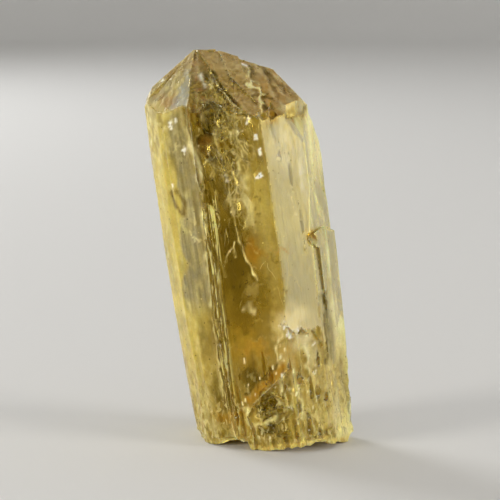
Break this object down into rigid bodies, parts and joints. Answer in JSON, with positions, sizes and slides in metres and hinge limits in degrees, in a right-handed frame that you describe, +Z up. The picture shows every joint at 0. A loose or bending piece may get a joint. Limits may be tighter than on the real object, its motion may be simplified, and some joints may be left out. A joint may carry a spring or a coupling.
{
  "type": "imperial topaz crystal",
  "caption": "Single golden topaz crystal: a striated rhombic prism with a low pyramid on top, broken off flat at the foot, standing with a slight lean.",
  "frame": {"origin": "centre of the bounding box, on the flat break that the crystal stands on", "axes": "+Z up, along the longest extent; -Y is the front, where the sharp prism edge and the shattered corner are; +X is to the right, and the crystal's top leans towards -X"},
  "size_m": [0.0208, 0.0126, 0.039],
  "materials": {
    "topaz": "clear golden to olive yellow, with natural glossy to satin faces, veils and iron stains"
  },
  "bodies": {
    "root": {"topaz_crystal": "topaz"}
  },
  "joints": []
}
